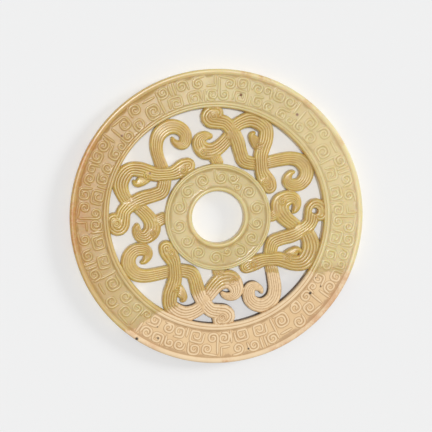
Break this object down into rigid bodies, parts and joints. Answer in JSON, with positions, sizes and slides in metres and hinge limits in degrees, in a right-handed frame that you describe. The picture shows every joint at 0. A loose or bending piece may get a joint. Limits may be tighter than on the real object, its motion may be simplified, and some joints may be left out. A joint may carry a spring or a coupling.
{
  "type": "jade bi disc",
  "caption": "Flat round jade disc with a central hole, an openwork zone of interlaced dragons between a scroll-carved rim and a scroll-carved inner ring.",
  "frame": {"origin": "centre of the flat underside", "axes": "+Z out of the carved face, across the thickness; +Y towards the top of the carved face as it is displayed; +X to its right"},
  "size_m": [0.12, 0.12, 0.005],
  "materials": {
    "jade": "polished honey-green nephrite, cloudy pinkish-buff where it is altered"
  },
  "bodies": {
    "root": {"jade_disc": "jade"}
  },
  "joints": []
}
